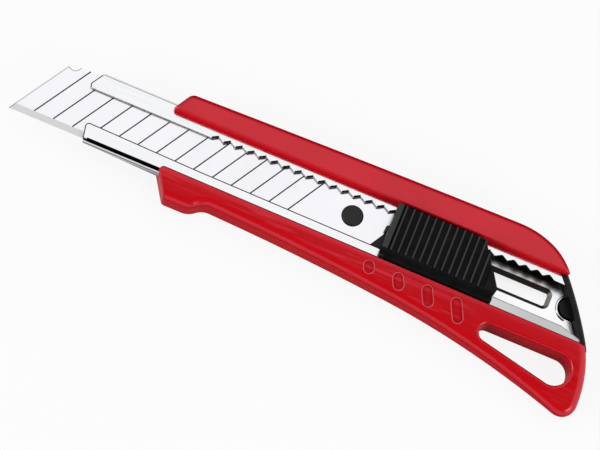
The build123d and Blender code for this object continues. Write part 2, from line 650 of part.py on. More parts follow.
def make_spring():
    """Bowed leaf spring behind the lock tooth."""
    half = SPRING_SPAN / 2
    front = TOOTH_BACK - SLIDE_CLEARANCE / 15
    back = front - SPRING_THICKNESS
    left = TOOTH_X - half
    right = TOOTH_X + half
    edges = [
        ThreePointArc((left, front - SPRING_SAG), (TOOTH_X, front), (right, front - SPRING_SAG)),
        Line((right, front - SPRING_SAG), (right, back - SPRING_SAG)),
        ThreePointArc((right, back - SPRING_SAG), (TOOTH_X, back), (left, back - SPRING_SAG)),
        Line((left, back - SPRING_SAG), (left, front - SPRING_SAG)),
    ]
    return raised(make_face(edges), TOOTH_LOW, TOOTH_HIGH)


def make_slider():
    """Black thumb slider: ribbed cap with a slanted rear, hollow over the carrier's neck."""
    slant = math.tan(math.radians(REAR_SLANT))
    near_x = SLIDER_FRONT_X + SLIDER_LENGTH
    far_x = near_x - (SLIDER_FAR - SLIDER_NEAR) * slant
    corners = [
        (SLIDER_FRONT_X, SLIDER_NEAR),
        (near_x, SLIDER_NEAR),
        (far_x, SLIDER_FAR),
        (SLIDER_FRONT_X, SLIDER_FAR),
    ]
    plan = make_face(Polyline(*corners, close=True))
    rear = [plan.vertices().sort_by_distance(corner)[0] for corner in corners[1:3]]
    slider = raised(fillet(rear, SLIDER_CORNER), SLIDER_UNDER, SLIDER_TOP)
    section = [
        (SLIDER_NEAR, SLIDER_UNDER),
        (SLIDER_FAR, SLIDER_UNDER),
        (SLIDER_FAR - SLIDER_DRAFT, SLIDER_TOP),
        (SLIDER_NEAR + SLIDER_DRAFT, SLIDER_TOP),
    ]
    drafted = crosswise(SLIDER_FRONT_X) * make_face(Polyline(*section, close=True))
    slider = slider & extrude(drafted, SLIDER_LENGTH)
    upright = Plane(origin=(0, SLIDER_NEAR, 0), x_dir=(1, 0, 0), z_dir=(0, -1, 0))
    floor_z = SLIDER_TOP - RIB_DEPTH
    lean = (RIB_FOOT - RIB_TOP) / 2
    start = SLIDER_FRONT_X + SLIDER_FRONT_LAND
    for number in range(RIB_COUNT + 1):
        end = SLIDER_FRONT_X + RIB_START + number * RIB_PITCH - RIB_TOP / 2
        gap = [(start, SLIDER_TOP), (end, SLIDER_TOP), (end - lean, floor_z), (start + lean, floor_z)]
        gap = make_face(Polyline(*gap, close=True))
        slider = slider - extrude(upright * gap, SLIDER_NEAR - SLIDER_FAR)
        start = end + RIB_TOP
    slider = slider + pin(SLIDER_FRONT_X, 0, SLIDER_UNDER, NUB_RADIUS, NUB_RADIUS)
    cave_front = NECK_FRONT_X - THUMB_SHIFT - 2 * SLIDE_CLEARANCE
    cave_rear = NECK_REAR_X + 2 * SLIDE_CLEARANCE
    cave_near = SLIDER_NEAR + SLIDER_WALL
    cave_far = SLIDER_FAR - SLIDER_WALL
    slider = slider - block(cave_front, cave_rear, cave_near, cave_far, SLIDER_UNDER, ROOF_UNDER)
    rail_top = HEAD_UNDER - SLIDE_CLEARANCE
    near_rail = NECK_NEAR + HEAD_OVERHANG - 2 * SLIDE_CLEARANCE
    far_rail = NECK_FAR - HEAD_OVERHANG + 2 * SLIDE_CLEARANCE
    slider = slider + block(cave_front, cave_rear, cave_near, near_rail, SLIDER_UNDER, rail_top)
    slider = slider + block(cave_front, cave_rear, far_rail, cave_far, SLIDER_UNDER, rail_top)
    face_y = PEG_FACE + RAMP_GAP
    ahead = PEG_WIDTH / 2 + SLIDE_CLEARANCE
    behind = ahead + THUMB_SHIFT
    ramp = [
        (TOOTH_X - behind, face_y - LOCK_RATIO * behind),
        (TOOTH_X + ahead, face_y + LOCK_RATIO * ahead),
        (TOOTH_X + ahead, face_y + RAMP_DEPTH),
        (TOOTH_X - behind, face_y + RAMP_DEPTH),
    ]
    return slider + prism(ramp, HEAD_TOP + SLIDE_CLEARANCE, ROOF_UNDER)


def make_cap():
    """Black end cap: curved wall flush with the tail, round tongue in the floor notch, near cheek."""
    reach = block(RAIL_END_X - CAP_REACH, FAR_BEYOND, -HALF_CHANNEL, HALF_CHANNEL, HANDLE_FLOOR, LIP_TOP)
    wall = (raised(handle_outline(), 0, RAIL_TOP) & reach) - raised(inside_tail(CAP_WALL), 0, RAIL_TOP)
    wall = chamfer(rim(wall, tail_arcs(), True), CAP_EDGE_CHAMFER)
    tongue = Pos(TONGUE_X - CAP_TONGUE_RADIUS + FAR_BEYOND / 2, GROOVE_Y)
    tongue = tongue * SlotOverall(FAR_BEYOND, 2 * CAP_TONGUE_RADIUS)
    tongue_low = HANDLE_FLOOR + CAP_CLEARANCE / 3
    tongue = raised(tongue, tongue_low, tongue_low + CAP_TONGUE_THICKNESS)
    cheek = block(
        RAIL_END_X + CAP_CHEEK_SETBACK,
        TAIL_X,
        -HALF_INSIDE + CAP_CLEARANCE,
        -HALF_CHANNEL + NEAR_LIP_WIDTH_REAR - 2 * SHEET,
        CHANNEL_FLOOR_TOP + CAP_CLEARANCE,
        LIP_UNDER - CAP_CLEARANCE,
    )
    return wall + ((tongue + cheek) & raised(inside_tail(CAP_WALL / 2), 0, RAIL_TOP))


if __name__ == "__main__":
    os.makedirs("parts", exist_ok=True)
    made = {
        "handle": make_handle(),
        "blade_channel": make_channel(),
        "snap_blade": make_blade(),
        "blade_carrier": make_carrier(),
        "lock_tooth": make_tooth(),
        "lock_spring": make_spring(),
        "thumb_slider": make_slider(),
        "end_cap": make_cap(),
    }
    for name, solid in made.items():
        print(name, solid.is_valid, round(solid.volume, 1), len(solid.solids()))
        export_step(solid, f"parts/{name}.step")
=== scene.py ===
import math

import bpy
from mathutils import Matrix, Vector


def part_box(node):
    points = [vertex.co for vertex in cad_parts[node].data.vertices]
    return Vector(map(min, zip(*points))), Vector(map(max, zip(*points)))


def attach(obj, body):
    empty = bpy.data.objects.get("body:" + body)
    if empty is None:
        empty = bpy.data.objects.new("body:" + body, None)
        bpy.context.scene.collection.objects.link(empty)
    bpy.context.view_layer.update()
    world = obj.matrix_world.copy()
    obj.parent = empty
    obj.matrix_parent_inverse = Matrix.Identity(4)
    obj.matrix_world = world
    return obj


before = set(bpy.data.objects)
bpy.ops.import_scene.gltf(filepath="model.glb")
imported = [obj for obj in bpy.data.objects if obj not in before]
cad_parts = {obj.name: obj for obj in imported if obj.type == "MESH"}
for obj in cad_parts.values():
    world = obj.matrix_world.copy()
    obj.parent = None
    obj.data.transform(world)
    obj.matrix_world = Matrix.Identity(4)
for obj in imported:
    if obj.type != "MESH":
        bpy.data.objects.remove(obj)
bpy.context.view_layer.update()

scene = bpy.context.scene
scene.view_settings.view_transform = "Standard"


# Handle: one moulding in glossy red plastic that makes the tray, the far rail, the near grip
# with its guard, and the finger loop. The grip's top is glossy; its outer strip is painted a
# darker red as painted shade and streaked there with pinker painted highlights. The rail's top
# is more satin and is painted darker along its rounded far rim as painted shade. The side walls
# keep the dull face of the mould and are painted darker as painted shade, the rail's near wall
# is painted lighter towards its top as painted light, and a painted shadow line runs along the
# top of the flange's inner edge.
def new_material(name):
    material = bpy.data.materials.new(name)
    material.use_nodes = True
    tree = material.node_tree
    return material, tree, tree.nodes["Principled BSDF"]


def socket_of(sockets, name):
    for socket in sockets:
        if socket.identifier == name:
            return socket
    return sockets[name]


def feed(tree, socket, value):
    if isinstance(value, bpy.types.NodeSocket):
        tree.links.new(value, socket)
    else:
        socket.default_value = value


def add_node(tree, kind, settings=None, inputs=None):
    made = tree.nodes.new(kind)
    for name, value in (settings or {}).items():
        setattr(made, name, value)
    for name, value in (inputs or {}).items():
        feed(tree, socket_of(made.inputs, name), value)
    return made


def object_place(tree, stretch=(1.0, 1.0, 1.0), turn=0.0):
    place = add_node(tree, "ShaderNodeTexCoord")
    mapping = add_node(tree, "ShaderNodeMapping", None, {"Vector": place.outputs["Object"]})
    mapping.inputs["Scale"].default_value = stretch
    mapping.inputs["Rotation"].default_value = (0.0, 0.0, turn)
    return mapping.outputs["Vector"]


def parted(tree, vector):
    return add_node(tree, "ShaderNodeSeparateXYZ", None, {"Vector": vector}).outputs


def facing(tree):
    return parted(tree, add_node(tree, "ShaderNodeNewGeometry").outputs["Normal"])


def noise(tree, place, scale, detail=2.0):
    inputs = {"Vector": place, "Scale": scale, "Detail": detail}
    return add_node(tree, "ShaderNodeTexNoise", None, inputs).outputs["Fac"]


def ramp(tree, value, low, high, at=(0.0, 1.0)):
    inputs = {
        "Value": value,
        "From Min": at[0],
        "From Max": at[1],
        "To Min": low,
        "To Max": high,
    }
    return add_node(tree, "ShaderNodeMapRange", {"clamp": True}, inputs).outputs["Result"]


def reckon(tree, operation, first, second=0.0):
    inputs = {"Value": first, "Value_001": second}
    return add_node(tree, "ShaderNodeMath", {"operation": operation}, inputs).outputs["Value"]


def above(tree, value, limit):
    return reckon(tree, "GREATER_THAN", value, limit)


def below(tree, value, limit):
    return reckon(tree, "LESS_THAN", value, limit)


def product(tree, first, *others):
    for other in others:
        first = reckon(tree, "MULTIPLY", first, other)
    return first


def mixed(tree, share, first, second):
    inputs = {"Factor_Float": share, "A_Color": first, "B_Color": second}
    made = add_node(tree, "ShaderNodeMix", {"data_type": "RGBA"}, inputs)
    return socket_of(made.outputs, "Result_Color")


def bumped(tree, height, distance, strength):
    inputs = {"Height": height, "Distance": distance, "Strength": strength}
    return add_node(tree, "ShaderNodeBump", None, inputs).outputs["Normal"]


def dress(node_name, material):
    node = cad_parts[node_name]
    node.data.materials.clear()
    node.data.materials.append(material)


RED = (0.66, 0.0050, 0.0120, 1.0)
RED_DEEP = (0.60, 0.0035, 0.0085, 1.0)
RED_CLOUD_SCALE = 60.0
RED_CLOUD_SPAN = (0.35, 0.65)
MOTTLED = 3.0

RED_OUTER_STRIP_PAINTED_SHADE = (0.555, 0.0042, 0.0085, 1.0)
OUTER_STRIP_Y = (-0.0102, -0.0092)
OUTER_STRIP_TILT = (0.955, 0.975)
RED_PAINTED_HIGHLIGHT_STREAK = (0.66, 0.030, 0.042, 1.0)
STREAK_SCALE = 62.0
STREAK_STRETCH = (1.0, 14.0, 1.0)
STREAK_TURN = math.radians(4.4)
STREAK_SPAN = (0.50, 0.66)
STREAK_FADE_X = (0.028, 0.042)
STREAK_LEFT = 0.3

RED_RAIL_RIM_PAINTED_SHADE = (0.40, 0.0030, 0.0120, 1.0)
RAIL_RIM_WIDTH = 0.0011
RAIL_RIM_TILT = (0.10, 0.40)
RAIL_RIM_SAMPLES = 8

RED_SIDE_PAINTED_SHADE = (0.49, 0.0030, 0.0090, 1.0)
SIDE_TILT = (0.25, 0.62)
RED_SIDE_LIT = (0.80, 0.0080, 0.0180, 1.0)
RAIL_WALL_Z = (0.0078, 0.0086)
RED_FAR_SIDE_PAINTED_SHADE = (0.42, 0.0025, 0.0080, 1.0)
FAR_TILT = (0.30, 0.60)
RED_FLANGE_EDGE_PAINTED_SHADE = (0.13, 0.0015, 0.0040, 1.0)
FLANGE_EDGE_Y = -0.0090
FLANGE_EDGE_Z = 0.0084

RED_GLOSS = (0.15, 0.22)
RAIL_SATIN = 0.18
RAIL_SATIN_Z = (0.0100, 0.0108)
TOP_SHEEN = 0.52
OUTER_STRIP_SHEEN = 0.18
SIDE_SHEEN = 0.008
SHEEN_TINT = (1.0, 0.82, 1.0, 1.0)

FLOW_SCALE = 90.0
FLOW_STRETCH = (1.0, 6.0, 6.0)
FLOW_SPAN = (0.3, 0.7)
RED_GRAIN_SCALE = 2600.0
RED_GRAIN_SHARE = 0.1
RED_BUMP_DEPTH = 0.00006
RED_BUMP_STRENGTH = 0.5

red_plastic, tree, shader = new_material("red_moulded_plastic")
place = object_place(tree)
spot = parted(tree, place)
normal = facing(tree)
clouds = noise(tree, place, RED_CLOUD_SCALE, MOTTLED)
colour = mixed(tree, ramp(tree, clouds, 0.0, 1.0, RED_CLOUD_SPAN), RED, RED_DEEP)

# Painted shade: the mask below picks the outer strip of the grip's top, which is painted a darker
# red and given less sheen.
outer_strip = ramp(tree, spot["Y"], 1.0, 0.0, OUTER_STRIP_Y)
outer_strip = product(tree, outer_strip, ramp(tree, normal["Z"], 0.0, 1.0, OUTER_STRIP_TILT))
# Painted highlight: long pinker streaks along the grip's outer strip, fading towards the tail.
highlight_streaks = noise(tree, object_place(tree, STREAK_STRETCH, STREAK_TURN), STREAK_SCALE, MOTTLED)
highlight_streaks = ramp(tree, highlight_streaks, 0.0, 1.0, STREAK_SPAN)
fade = ramp(tree, spot["X"], 1.0, STREAK_LEFT, STREAK_FADE_X)
outer_strip_colour = mixed(tree, product(tree, highlight_streaks, fade), RED_OUTER_STRIP_PAINTED_SHADE, RED_PAINTED_HIGHLIGHT_STREAK)
colour = mixed(tree, outer_strip, colour, outer_strip_colour)

# Painted shade: the rail's rounded far rim, found from softened normals, is painted a darker red
# and loses its sheen.
on_rail = above(tree, spot["Y"], 0.0)
settings = {"samples": RAIL_RIM_SAMPLES}
softened = add_node(tree, "ShaderNodeBevel", settings, {"Radius": RAIL_RIM_WIDTH})
softened = parted(tree, softened.outputs["Normal"])
rail_rim_shade = product(tree, ramp(tree, softened["Y"], 0.0, 1.0, RAIL_RIM_TILT), on_rail)
colour = mixed(tree, rail_rim_shade, colour, RED_RAIL_RIM_PAINTED_SHADE)

# Painted shade and light: steep walls and far-facing walls are painted a darker red, and the
# rail's near wall is painted lighter towards its top.
side = ramp(tree, reckon(tree, "ABSOLUTE", normal["Z"]), 1.0, 0.0, SIDE_TILT)
far_side = ramp(tree, normal["Y"], 0.0, 1.0, FAR_TILT)
not_far = ramp(tree, far_side, 1.0, 0.0)
lit = product(tree, on_rail, not_far, ramp(tree, spot["Z"], 0.0, 1.0, RAIL_WALL_Z))
wall = mixed(tree, lit, RED_SIDE_PAINTED_SHADE, RED_SIDE_LIT)
# Painted shadow: a near-black red line along the top of the flange's inner edge, where it meets
# the steel.
flange_edge = product(
    tree,
    above(tree, spot["Y"], FLANGE_EDGE_Y),
    below(tree, spot["Y"], 0.0),
    above(tree, spot["Z"], FLANGE_EDGE_Z),
)
wall = mixed(tree, far_side, wall, mixed(tree, flange_edge, RED_FAR_SIDE_PAINTED_SHADE, RED_FLANGE_EDGE_PAINTED_SHADE))
on_wall = reckon(tree, "MAXIMUM", side, far_side)
feed(tree, shader.inputs["Base Color"], mixed(tree, on_wall, colour, wall))

sheen = ramp(tree, outer_strip, TOP_SHEEN, OUTER_STRIP_SHEEN)
sheen = ramp(tree, reckon(tree, "MAXIMUM", side, rail_rim_shade), sheen, SIDE_SHEEN)
feed(tree, shader.inputs["Specular IOR Level"], product(tree, sheen, not_far))
shader.inputs["Specular Tint"].default_value = SHEEN_TINT
flow = noise(tree, object_place(tree, FLOW_STRETCH), FLOW_SCALE, MOTTLED)
gloss = ramp(tree, flow, *RED_GLOSS, FLOW_SPAN)
satin = ramp(tree, spot["Z"], 0.0, RAIL_SATIN, RAIL_SATIN_Z)
feed(tree, shader.inputs["Roughness"], reckon(tree, "ADD", gloss, satin))
grain = product(tree, noise(tree, place, RED_GRAIN_SCALE), RED_GRAIN_SHARE)
uneven = reckon(tree, "ADD", flow, grain)
feed(tree, shader.inputs["Normal"], bumped(tree, uneven, RED_BUMP_DEPTH, RED_BUMP_STRENGTH))
dress("handle", red_plastic)


# Grip dimples: four shallow ovals pressed beside the thumb slider, each longer than the one
# before it. The mould leaves a fine bead round every one, painted paler than the grip as a
# painted highlight along its rim.
def size_tree(name, sizes):
    made = bpy.data.node_groups.new(name, "GeometryNodeTree")
    made.interface.new_socket("Geometry", in_out="INPUT", socket_type="NodeSocketGeometry")
    made.interface.new_socket("Geometry", in_out="OUTPUT", socket_type="NodeSocketGeometry")
    for label, value in sizes.items():
        kind = "NodeSocketInt" if isinstance(value, int) else "NodeSocketFloat"
        made.interface.new_socket(label, in_out="INPUT", socket_type=kind)
    return made, made.nodes.new("NodeGroupInput").outputs


def end_tree(tree, geometry, material):
    whole = add_node(tree, "GeometryNodeRealizeInstances", None, {"Geometry": geometry})
    smooth = add_node(tree, "GeometryNodeSetShadeSmooth", None, {"Geometry": whole.outputs[0]})
    inputs = {"Geometry": smooth.outputs[0], "Material": material}
    coated = add_node(tree, "GeometryNodeSetMaterial", None, inputs)
    add_node(tree, "NodeGroupOutput", None, {"Geometry": coated.outputs[0]})


def grown(name, tree, sizes, start=None):
    piece = bpy.data.objects.new(name, start or bpy.data.meshes.new(name))
    scene.collection.objects.link(piece)
    modifier = piece.modifiers.new("sizes", "NODES")
    modifier.node_group = tree
    for item in tree.interface.items_tree:
        if item.in_out == "INPUT" and item.name in sizes:
            modifier[item.identifier] = sizes[item.name]
    shown = piece.evaluated_get(bpy.context.evaluated_depsgraph_get())
    mesh = bpy.data.meshes.new_from_object(shown)
    piece.modifiers.remove(modifier)
    piece.data = mesh
    return piece


def vector(tree, x, y, z):
    return add_node(tree, "ShaderNodeCombineXYZ", None, {"X": x, "Y": y, "Z": z}).outputs["Vector"]


def vector_reckon(tree, operation, first, second):
    inputs = {"Vector": first, "Vector_001": second}
    return add_node(tree, "ShaderNodeVectorMath", {"operation": operation}, inputs).outputs


def stood_in_row(tree, count, start, step, shape, scale=(1.0, 1.0, 1.0)):
    inputs = {"Count": count, "Start Location": start, "Offset": step}
    row = add_node(tree, "GeometryNodeMeshLine", None, inputs)
    inputs = {"Points": row.outputs["Mesh"], "Instance": shape, "Scale": scale}
    stood = add_node(tree, "GeometryNodeInstanceOnPoints", None, inputs)
    inputs = {"Geometry": stood.outputs[0]}
    return add_node(tree, "GeometryNodeRealizeInstances", None, inputs).outputs[0]


def swept(tree, path, profile):
    inputs = {"Curve": path, "Profile Curve": profile, "Fill Caps": True}
    return add_node(tree, "GeometryNodeCurveToMesh", None, inputs).outputs["Mesh"]


def round_bar(tree, radius, sides):
    inputs = {"Resolution": sides, "Radius": radius}
    return add_node(tree, "GeometryNodeCurvePrimitiveCircle", None, inputs).outputs["Curve"]


BEAD_RED_PAINTED_HIGHLIGHT = (0.78, 0.075, 0.095, 1.0)
BEAD_RED_DEEP_PAINTED_HIGHLIGHT = (0.70, 0.045, 0.060, 1.0)
BEAD_BLOOM_SCALE = 900.0
BEAD_GLOSS = (0.25, 0.40)
BEAD_SIDES = 8
OVAL_POINTS = 42
DIMPLES = {
    "Count": 4,
    "Pitch": 0.0086,
    "First Y": -0.0119,
    "Drift": 0.00055,
    "Width": 0.0029,
    "Length": 0.0036,
    "Growth": 0.0011,
    "Slant": math.radians(-63.0),
    "Bead": 0.00015,
    "Crown Y": -0.0080,
    "Crown Top": 0.00935,
    "Crown Fall": 0.13,
    "Crown Radius": 0.190,
}

# Painted highlight: the beads' paler pink stands in for the light caught along each rim.
bead_highlight_plastic, tree, shader = new_material("red_bead_plastic")
bloom = noise(tree, object_place(tree), BEAD_BLOOM_SCALE)
feed(tree, shader.inputs["Base Color"], mixed(tree, bloom, BEAD_RED_PAINTED_HIGHLIGHT, BEAD_RED_DEEP_PAINTED_HIGHLIGHT))
feed(tree, shader.inputs["Roughness"], ramp(tree, bloom, *BEAD_GLOSS))

tree, size = size_tree("dimple_beads", DIMPLES)
drift = product(tree, size["Drift"], -1.0)
first = vector(tree, 0.0, size["First Y"], 0.0)
step = vector(tree, size["Pitch"], drift, 0.0)
ring = round_bar(tree, product(tree, size["Width"], 0.5), OVAL_POINTS)
rings = stood_in_row(tree, size["Count"], first, step, ring)
place = add_node(tree, "GeometryNodeInputPosition").outputs[0]
number = reckon(tree, "DIVIDE", parted(tree, place)["X"], size["Pitch"])
number = reckon(tree, "ROUND", number)
centre_x = product(tree, number, size["Pitch"])
centre_y = reckon(tree, "ADD", product(tree, number, drift), size["First Y"])
centre = vector(tree, centre_x, centre_y, 0.0)
local = vector_reckon(tree, "SUBTRACT", place, centre)["Vector"]
extra = reckon(tree, "SUBTRACT", size["Length"], size["Width"])
extra = reckon(tree, "ADD", extra, product(tree, number, size["Growth"]))
side = reckon(tree, "SIGN", parted(tree, local)["X"])
apart = vector(tree, product(tree, side, product(tree, extra, 0.5)), 0.0, 0.0)
local = vector_reckon(tree, "ADD", local, apart)["Vector"]
inputs = {"Vector": local, "Angle": size["Slant"]}
turned = add_node(tree, "ShaderNodeVectorRotate", {"rotation_type": "Z_AXIS"}, inputs)
placed = vector_reckon(tree, "ADD", centre, turned.outputs["Vector"])["Vector"]
placed = parted(tree, placed)
fall = reckon(tree, "SUBTRACT", size["Crown Y"], placed["Y"])
steepening = reckon(tree, "DIVIDE", fall, product(tree, size["Crown Radius"], 2.0))
slope = reckon(tree, "ADD", size["Crown Fall"], steepening)
level = reckon(tree, "SUBTRACT", size["Crown Top"], product(tree, fall, slope))
inputs = {"Geometry": rings, "Position": vector(tree, placed["X"], placed["Y"], level)}
laid = add_node(tree, "GeometryNodeSetPosition", None, inputs).outputs[0]
end_tree(tree, swept(tree, laid, round_bar(tree, size["Bead"], BEAD_SIDES)), bead_highlight_plastic)
dimple_beads = grown("dimple_beads", tree, DIMPLES)
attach(dimple_beads, "body")


# Channel: stainless sheet folded into a tray, with two lips that hold the blade down, locking
# notches punched along the far lip and a guide groove pressed in its floor. The rolled faces
# are bright with faint lines along the length; walls, groove and punched edges are duller.
# Painted light and shade: the floor is painted near-white, going brown and then near black under
# the far lip; the near lip's tail is painted grey and its bend starts with a painted black strip;
# the walls carry painted light and dark bands; the groove walls are painted dark brown with a
# lighter end; the cut edges are painted brighter, and the notches' dark flanks near black.
STEEL = (0.865, 0.87, 0.88, 1.0)
STEEL_SHADE = (0.80, 0.805, 0.82, 1.0)
ROLLING_SCALE = 60.0
ROLLING_STRETCH = (1.0, 60.0, 60.0)
ROLLING_SPAN = (0.35, 0.75)
ROLLING_DETAIL = 4.0
ROLLING_DEPTH = 0.00001
ROLLING_STRENGTH = 0.02

FLOOR_Z = (0.00395, 0.0042)
STEEL_FLOOR_PAINTED_LIGHT = (0.98, 0.98, 0.975, 1.0)
STEEL_FAR_FLOOR_PAINTED_SHADE = (0.60, 0.55, 0.51, 1.0)
FLOOR_SHADE_Y = (0.0022, 0.0048)
STEEL_UNDER_LIP_PAINTED_SHADE = (0.030, 0.024, 0.020, 1.0)
UNDER_LIP_Y = (0.0047, 0.0054)
LIP_SHADE_END_X = (0.0465, 0.0492)

LIP_UNDER_Z = 0.0071
LIP_HALF_SPAN = 0.0094
STEEL_TAIL_PAINTED_SHADE = (0.50, 0.505, 0.50, 1.0)
TAIL_SHADE_X = (0.0, 0.045)
STEEL_BEND_PAINTED_REFLECTION = (0.004, 0.004, 0.005, 1.0)
BEND_LOW = (0.00030, 0.00038)
BEND_HIGH = (0.00130, 0.00140)
BEND_FROM_X = -0.0817

STEEL_WALL_PAINTED_DARK = (0.20, 0.20, 0.235, 1.0)
STEEL_WALL_PAINTED_LIGHT = (0.64, 0.63, 0.71, 1.0)
STEEL_WALL_PAINTED_LINE = (0.08, 0.08, 0.095, 1.0)
WALL_TILT = (0.25, 0.42)
WALL_LIGHT_Z = (0.0056, 0.0059)
WALL_LINE_Z = (0.0066, 0.0069)

GROOVE_WALL_PAINTED_SHADE = (0.070, 0.058, 0.050, 1.0)
GROOVE_TILT = (0.75, 0.95)
GROOVE_END_PAINTED_HIGHLIGHT = (0.62, 0.60, 0.58, 1.0)
GROOVE_END_TILT = (-0.75, -0.35)

CUT_EDGE_PAINTED_LIGHT = (0.95, 0.95, 0.96, 1.0)
PUNCHED_EDGE_PAINTED_SHADE = (0.008, 0.006, 0.005, 1.0)
DARK_FLANK_TILT = (0.0, 0.2)
NOTCHES_FROM_X = -0.0525
TAIL_FROM_X = 0.030

SMUDGE_SCALE = 45.0
SMUDGE_SPAN = (0.3, 0.7)
STEEL_GLOSS = (0.11, 0.16)
DULL_GLOSS = 0.4
FLOOR_DULLNESS = 0.45
STEEL_SHEEN = 0.5
DARK_EDGE_SHEEN = 0.02

channel_low, channel_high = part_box("blade_channel")
stainless, tree, shader = new_material("rolled_stainless")
place = object_place(tree)
spot = parted(tree, place)
normal = facing(tree)
rolling = noise(tree, object_place(tree, ROLLING_STRETCH), ROLLING_SCALE, ROLLING_DETAIL)
colour = mixed(tree, ramp(tree, rolling, 0.0, 1.0, ROLLING_SPAN), STEEL, STEEL_SHADE)

# Painted light and shade on the floor: it is painted near-white, then brown towards the far wall
# and near black under the far lip, fading out before the end cap.
low = ramp(tree, spot["Z"], 1.0, 0.0, FLOOR_Z)
shaded = ramp(tree, spot["X"], 1.0, 0.0, LIP_SHADE_END_X)
floor_shade = product(tree, shaded, ramp(tree, spot["Y"], 0.0, 1.0, FLOOR_SHADE_Y))
floor_tone = mixed(tree, floor_shade, STEEL_FLOOR_PAINTED_LIGHT, STEEL_FAR_FLOOR_PAINTED_SHADE)
under_lip_shade = product(tree, shaded, ramp(tree, spot["Y"], 0.0, 1.0, UNDER_LIP_Y))
floor_tone = mixed(tree, under_lip_shade, floor_tone, STEEL_UNDER_LIP_PAINTED_SHADE)
colour = mixed(tree, low, colour, floor_tone)

on_lip = above(tree, spot["Z"], LIP_UNDER_Z)
near_lip = product(tree, below(tree, spot["Y"], 0.0), on_lip)
# Painted shade: the near lip is painted greyer towards its tail.
patch = product(tree, near_lip, ramp(tree, spot["X"], 0.0, 1.0, TAIL_SHADE_X))
colour = mixed(tree, patch, colour, STEEL_TAIL_PAINTED_SHADE)
# Painted reflection: a near-black strip painted along the start of the near lip's bend, for the
# dark surroundings it mirrors.
from_face = reckon(tree, "SUBTRACT", spot["Y"], channel_low.y)
bend_reflection = product(
    tree,
    ramp(tree, from_face, 1.0, 0.0, BEND_HIGH),
    ramp(tree, from_face, 0.0, 1.0, BEND_LOW),
    above(tree, spot["X"], BEND_FROM_X),
    near_lip,
)
colour = mixed(tree, bend_reflection, colour, STEEL_BEND_PAINTED_REFLECTION)

# Painted reflection: the steel's walls are painted dark low down, with a light lavender band
# higher up and a dark line above it.
wall = ramp(tree, normal["Z"], 1.0, 0.0, WALL_TILT)
light_part = ramp(tree, spot["Z"], 0.0, 1.0, WALL_LIGHT_Z)
wall_reflection_bands = mixed(tree, light_part, STEEL_WALL_PAINTED_DARK, STEEL_WALL_PAINTED_LIGHT)
wall_reflection_bands = mixed(tree, ramp(tree, spot["Z"], 0.0, 1.0, WALL_LINE_Z), wall_reflection_bands, STEEL_WALL_PAINTED_LINE)
colour = mixed(tree, wall, colour, wall_reflection_bands)

# Painted shade and highlight: the groove's sloped walls are painted dark brown, and its end wall a
# light grey.
pressed = below(tree, spot["Z"], FLOOR_Z[0])
groove = product(tree, pressed, ramp(tree, normal["Z"], 1.0, 0.0, GROOVE_TILT))
groove_end = ramp(tree, normal["X"], 1.0, 0.0, GROOVE_END_TILT)
colour = mixed(tree, groove, colour, mixed(tree, groove_end, GROOVE_WALL_PAINTED_SHADE, GROOVE_END_PAINTED_HIGHLIGHT))

# Painted light and shade on the lip edges: the cut edges are painted brighter than the sheet, and
# the notches' flanks that face the tail, and all flanks past the tail, near black.
between_bends = below(tree, reckon(tree, "ABSOLUTE", spot["Y"]), LIP_HALF_SPAN)
edge = product(tree, between_bends, on_lip, wall)
dark_flank = ramp(tree, normal["X"], 0.0, 1.0, DARK_FLANK_TILT)
dark_flank = reckon(tree, "MAXIMUM", dark_flank, above(tree, spot["X"], TAIL_FROM_X))
dark_notch_flank = product(tree, above(tree, spot["X"], NOTCHES_FROM_X), dark_flank)
colour = mixed(tree, edge, colour, mixed(tree, dark_notch_flank, CUT_EDGE_PAINTED_LIGHT, PUNCHED_EDGE_PAINTED_SHADE))
feed(tree, shader.inputs["Base Color"], colour)

dull = reckon(tree, "MAXIMUM", edge, groove)
dull = reckon(tree, "MAXIMUM", dull, product(tree, low, FLOOR_DULLNESS))
gloss = ramp(tree, noise(tree, place, SMUDGE_SCALE), *STEEL_GLOSS, SMUDGE_SPAN)
gloss = reckon(tree, "ADD", gloss, ramp(tree, dull, 0.0, DULL_GLOSS))
feed(tree, shader.inputs["Roughness"], gloss)
dark_edge = product(tree, edge, dark_notch_flank)
feed(tree, shader.inputs["Metallic"], ramp(tree, dark_edge, 1.0, 0.0))
feed(tree, shader.inputs["Specular IOR Level"], ramp(tree, dark_edge, STEEL_SHEEN, DARK_EDGE_SHEEN))
feed(tree, shader.inputs["Normal"], bumped(tree, rolling, ROLLING_DEPTH, ROLLING_STRENGTH))
dress("blade_channel", stainless)


# Lip edges: a hair-thin rounded burr that the punch leaves on the top edge of the sheet, dull and
# painted near black, so that it also draws the shadow line where the lips stand over the blade
# and the floor (painted shade). Ahead of the tail it is thicker on each notch's dark flank and
# missing on the other, the far lip's plain run has none, and at the near lip's tail it takes the
# channel's painted grey shade.
SHEARED_PAINTED_SHADE = (0.005, 0.0045, 0.005, 1.0)
SHEARED_PAINTED_SHADE_PALE = (0.014, 0.013, 0.014, 1.0)
CHATTER_SCALE = 3000.0
CHATTER_SPAN = (0.3, 0.7)
SHEARED_GLOSS = (0.60, 0.80)
SHEARED_SHEEN = 0.1
BURR_SIDES = 8
LIP_EDGE = {
    "Lip Level": channel_high.z,
    "Level Slack": 0.00005,
    "Weld": 0.00001,
    "Sharp Angle": math.radians(55.0),
    "Notches From": NOTCHES_FROM_X,
    "Tail From": TAIL_FROM_X,
    "Plain Edge Y": 0.0049,
    "Burr": 0.00014,
    "Notch Burr": 0.00025,
    "Notch Burr Sink": 0.00011,
    "Notch Burr Back": 0.00012,
}

